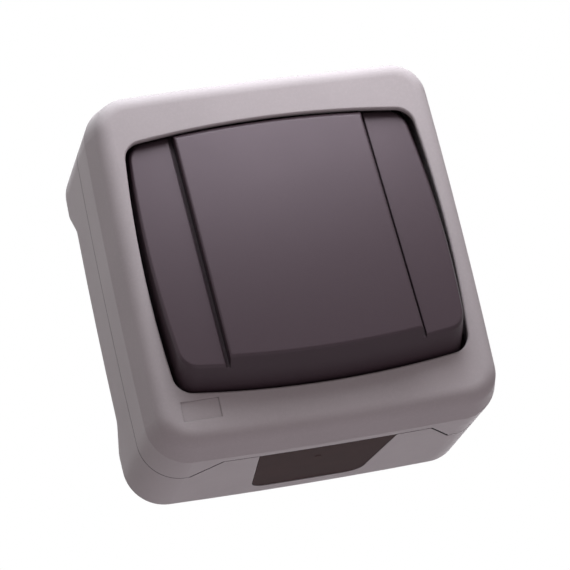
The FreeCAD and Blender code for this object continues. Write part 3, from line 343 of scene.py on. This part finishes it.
class Recipe(Tree):
    """A Geometry Nodes tree with named inputs for its sizes, run once on points to give a plain mesh."""

    def __init__(self, name, **sizes):
        super().__init__(bpy.data.node_groups.new(name, "GeometryNodeTree"))
        sockets = self.tree.interface
        sockets.new_socket("Points", in_out="INPUT", socket_type="NodeSocketGeometry")
        sockets.new_socket("Form", in_out="OUTPUT", socket_type="NodeSocketGeometry")
        self.sizes = {}
        for size, metres in sizes.items():
            socket = sockets.new_socket(size, in_out="INPUT", socket_type="NodeSocketFloat")
            self.sizes[socket.identifier] = metres
        self.start = self.tree.nodes.new("NodeGroupInput")
        self.finish = self.tree.nodes.new("NodeGroupOutput")

    def given(self, name):
        """One of the tree's own inputs."""
        return Value(self, self.start.outputs[name])

    def lifted(self, form, height):
        place = self.node("ShaderNodeCombineXYZ", Z=height)
        return self.node("GeometryNodeTransform", Geometry=form, Translation=place)

    def make(self, name, form, points, body, slot, replaced):
        """Sets the form on every point and keeps the result as a plain mesh that rides on a body."""
        to_front = (math.pi / 2, 0.0, 0.0)
        turned = self.node("GeometryNodeTransform", Geometry=form, Rotation=to_front)
        copies = self.node("GeometryNodeInstanceOnPoints", Points=self.given("Points"), Instance=turned)
        real = self.node("GeometryNodeRealizeInstances", Geometry=copies)
        flat = self.node("GeometryNodeSetShadeSmooth", Geometry=real, Shade_Smooth=False)
        painted = self.node("GeometryNodeSetMaterial", Geometry=flat, Material=finishes[slot])
        self.give(self.finish.inputs[0], painted)
        seed_mesh = bpy.data.meshes.new(name + "_points")
        seed_mesh.from_pydata(points, [], [])
        seed = bpy.data.objects.new(name + "_points", seed_mesh)
        scene.collection.objects.link(seed)
        modifier = seed.modifiers.new("recipe", "NODES")
        modifier.node_group = self.tree
        for identifier, metres in self.sizes.items():
            modifier[identifier] = metres
        bpy.context.view_layer.update()
        made = bpy.data.meshes.new_from_object(seed.evaluated_get(bpy.context.evaluated_depsgraph_get()))
        made.name = name
        bpy.data.objects.remove(seed)
        piece = bpy.data.objects.new(name, made)
        scene.collection.objects.link(piece)
        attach(piece, body)
        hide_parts(replaced)


HEAD_RADIUS = 2.9 * MM
HEAD_HEIGHT = 2.0 * MM
# Shares of the head's height and radius that the straight rim and the flat top take
RIM_SHARE = 0.6
TOP_SHARE = 0.72
HEAD_SIDES = 40
SHANK_SIDES = 24
STEPS_A_TURN = 20
RIDGE_SIDES = 3


def threaded_screws(name, replaced, length, spots):
    """Pan-head screws with a cross recess and a rolled thread, on the seats of a CAD node's screws.

    A spot says at which end of the node's box a screw is, across and up, with 0 for its middle."""
    recipe = Recipe(
        name, head_radius=HEAD_RADIUS, head_height=HEAD_HEIGHT, core_radius=1.22 * MM, length=length,
        pitch=0.8 * MM, ridge=0.28 * MM, cross_length=3.2 * MM, cross_width=0.8 * MM, cross_depth=1.1 * MM,
    )
    node = recipe.node
    given = recipe.given

    rim = given("head_height") * RIM_SHARE
    rim_form = node("GeometryNodeMeshCylinder", Vertices=HEAD_SIDES, Radius=given("head_radius"), Depth=rim)
    dome_form = node(
        "GeometryNodeMeshCone", Vertices=HEAD_SIDES, Radius_Top=given("head_radius") * TOP_SHARE,
        Radius_Bottom=given("head_radius"), Depth=given("head_height") * (1.0 - RIM_SHARE),
    )
    head_forms = [recipe.lifted(rim_form, rim * 0.5), recipe.lifted(dome_form, rim)]
    head = node("GeometryNodeMeshBoolean", {"operation": "UNION", "solver": "EXACT"}, Mesh_2=head_forms)

    depth = given("cross_depth") * 2.0
    bars = []
    for across, up in (("cross_length", "cross_width"), ("cross_width", "cross_length")):
        size = node("ShaderNodeCombineXYZ", X=given(across), Y=given(up), Z=depth)
        bars.append(recipe.lifted(node("GeometryNodeMeshCube", Size=size), given("head_height")))
    cut = {"operation": "DIFFERENCE", "solver": "EXACT"}
    crossed_head = node("GeometryNodeMeshBoolean", cut, Mesh_1=head, Mesh_2=bars)

    core = node(
        "GeometryNodeMeshCylinder", Vertices=SHANK_SIDES, Radius=given("core_radius"), Depth=given("length"),
    )
    core = recipe.lifted(core, given("length") * -0.5)

    run = given("length") - given("pitch") * 2.0
    helix = node(
        "GeometryNodeCurveSpiral", Resolution=STEPS_A_TURN, Rotations=run / given("pitch"),
        Start_Radius=given("core_radius"), End_Radius=given("core_radius"), Height=run,
    )
    ridge = node("GeometryNodeCurvePrimitiveCircle", Resolution=RIDGE_SIDES, Radius=given("ridge"))
    thread = node("GeometryNodeCurveToMesh", Curve=helix, Profile_Curve=ridge, Fill_Caps=True)
    thread = recipe.lifted(thread, given("pitch") * 0.5 - given("length"))

    screw = node("GeometryNodeJoinGeometry", Geometry=[thread, core, crossed_head])
    low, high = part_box(replaced)
    seat = low.y + HEAD_HEIGHT
    points = []
    for across, up in spots:
        x = across * (high.x - HEAD_RADIUS) if across else 0.5 * (low.x + high.x)
        z = up * (high.z - HEAD_RADIUS) if up else 0.5 * (low.z + high.z)
        points.append((x, seat, z))
    recipe.make(name, screw, points, "housing", "plated_steel", replaced)


threaded_screws("cover_screws_threaded", "cover_screws", 9.0 * MM, [(1, 0), (-1, 0)])
threaded_screws("insert_screws_threaded", "insert_screws", 8.0 * MM, [(1, 1), (-1, -1)])
threaded_screws("terminal_screws_threaded", "terminal_screws", 6.6 * MM, [(0, 1), (0, -1)])


# Small moulded mark on the cable entry, on the seal's lower face


PIP_SIDES = 28
# Each ring's share of the pip's width and of its height, from its sunk rim to its top
PIP_RINGS = ((1.0, -0.3), (1.0, 0.35), (0.93, 0.7), (0.8, 0.9), (0.5, 1.0))


def moulded_pip(name, middle, half_width, half_depth, height, body, slot):
    """An oval, slightly domed pip on a face that looks down. Its rim reaches a little into the face."""
    form = bmesh.new()
    rings = []
    for reach, rise in PIP_RINGS:
        ring = []
        for k in range(PIP_SIDES):
            turn = 2.0 * math.pi * k / PIP_SIDES
            x = middle[0] + reach * half_width * math.cos(turn)
            y = middle[1] + reach * half_depth * math.sin(turn)
            ring.append(form.verts.new((x, y, middle[2] - rise * height)))
        rings.append(ring)
    for low_ring, high_ring in zip(rings, rings[1:]):
        for k in range(PIP_SIDES):
            after = (k + 1) % PIP_SIDES
            form.faces.new((low_ring[k], low_ring[after], high_ring[after], high_ring[k]))
    form.faces.new(rings[0])
    form.faces.new(list(reversed(rings[-1])))
    bmesh.ops.recalc_face_normals(form, faces=form.faces)
    mesh = bpy.data.meshes.new(name)
    form.to_mesh(mesh)
    form.free()
    mesh.materials.append(finishes[slot])
    piece = bpy.data.objects.new(name, mesh)
    scene.collection.objects.link(piece)
    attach(piece, body)


entry_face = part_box("cable_entry_seal")[0].z
pip_middle = (-0.74 * MM, -20.88 * MM, entry_face)
moulded_pip("entry_seal_pip", pip_middle, 0.75 * MM, 0.32 * MM, 0.12 * MM, "housing", "entry_rubber")


# Pale floor and white room


SIGHT_RAYS = ("Is Camera Ray", "Is Glossy Ray", "Is Transmission Ray")
FLOOR_HEIGHT = -0.75
FLOOR_REACH = 4.0
# How far the floor's own shade gives way to plain white where it is seen
FLOOR_GLOW = 0.65
ROOM_COLOUR = (1.0, 0.89, 0.90)
ROOM_STRENGTH = 0.22


def in_sight(tree):
    """1 for rays that see a thing straight, mirrored or through glass, 0 for light that falls on others."""
    camera_ray, glossy_ray, clear_ray = [tree.node("ShaderNodeLightPath", output=ray) for ray in SIGHT_RAYS]
    return camera_ray.most(glossy_ray).most(clear_ray)


def pale_floor():
    paint = Paint("pale_floor", (0.72, 0.67, 0.70), 0.8)
    shaded = Value(paint, paint.shader.outputs[0])
    glow = paint.node("ShaderNodeEmission", Color=WHITE, Strength=1.0)
    mixed = {"#0": in_sight(paint) * FLOOR_GLOW, "#1": shaded, "#2": glow}
    both = paint.node("ShaderNodeMixShader", **mixed)
    paint.give(paint.tree.nodes["Material Output"].inputs["Surface"], both)
    return paint.material


def white_room():
    """White where it is seen, and a faint warm light on things."""
    room = bpy.data.worlds.new("studio")
    room.use_nodes = True
    tree = Tree(room.node_tree)
    tree.tree.nodes.clear()
    light = tree.node("ShaderNodeBackground", Color=ROOM_COLOUR, Strength=ROOM_STRENGTH)
    white = tree.node("ShaderNodeBackground", Color=WHITE, Strength=1.0)
    both = tree.node("ShaderNodeMixShader", **{"#0": in_sight(tree), "#1": light, "#2": white})
    tree.give(tree.tree.nodes.new("ShaderNodeOutputWorld").inputs["Surface"], both)
    return room


floor_form = bmesh.new()
floor_place = Matrix.Translation((0.0, 0.0, FLOOR_HEIGHT))
bmesh.ops.create_grid(floor_form, x_segments=1, y_segments=1, size=FLOOR_REACH, matrix=floor_place)
floor_mesh = bpy.data.meshes.new("floor")
floor_form.to_mesh(floor_mesh)
floor_form.free()
floor_mesh.materials.append(pale_floor())
floor = bpy.data.objects.new("floor", floor_mesh)
scene.collection.objects.link(floor)
scene.world = white_room()


# Lamps


ROCKER = (0.0, -0.035, 0.005)
WALL_SIDE = (0.0, 0.0, 0.0)


def soft_lamp(name, place, aim, size, power, colour):
    """A square lamp that the camera doesn't see."""
    lamp = bpy.data.lights.new(name, "AREA")
    lamp.shape = "SQUARE"
    lamp.size = size
    lamp.energy = power
    lamp.color = colour
    holder = bpy.data.objects.new(name, lamp)
    scene.collection.objects.link(holder)
    holder.visible_camera = False
    holder.location = place
    holder.rotation_mode = "QUATERNION"
    holder.rotation_quaternion = (Vector(aim) - Vector(place)).to_track_quat("-Z", "Y")


soft_lamp("overhead_softbox", (0.052, -0.125, 0.596), ROCKER, 0.4, 2.1, (0.86, 0.95, 1.0))
soft_lamp("wide_softbox", (0.0, -0.139, 0.596), ROCKER, 0.8, 4.3, (0.92, 0.96, 1.0))
soft_lamp("low_softbox", (0.0, -0.459, -0.419), ROCKER, 0.4, 0.4, (1.0, 0.92, 0.96))
soft_lamp("back_softbox", (0.15, 0.60, 0.08), WALL_SIDE, 0.5, 1.6, (0.97, 0.95, 1.0))
soft_lamp("close_lamp", (0.032, -0.113, 0.117), ROCKER, 0.08, 0.138, (0.97, 0.95, 1.0))


# Camera, fitted to the photograph


CAMERA_PLACE = Vector((-0.15028, -0.56816, -0.17977))
CAMERA_UP = Vector((0.140266, -0.340714, 0.929645))
CAMERA_BACK = Vector((-0.253660, -0.919957, -0.298891))
CAMERA_RIGHT = CAMERA_UP.cross(CAMERA_BACK)

camera = bpy.data.cameras.new("camera")
camera.lens = 180.06
camera.sensor_width = 36.0
camera.clip_start = 0.01
camera.clip_end = 20.0
viewer = bpy.data.objects.new("camera", camera)
scene.collection.objects.link(viewer)
turn = Matrix((CAMERA_RIGHT, CAMERA_UP, CAMERA_BACK)).transposed().to_4x4()
viewer.matrix_world = Matrix.Translation(CAMERA_PLACE) @ turn
scene.camera = viewer

scene.view_settings.view_transform = "Standard"
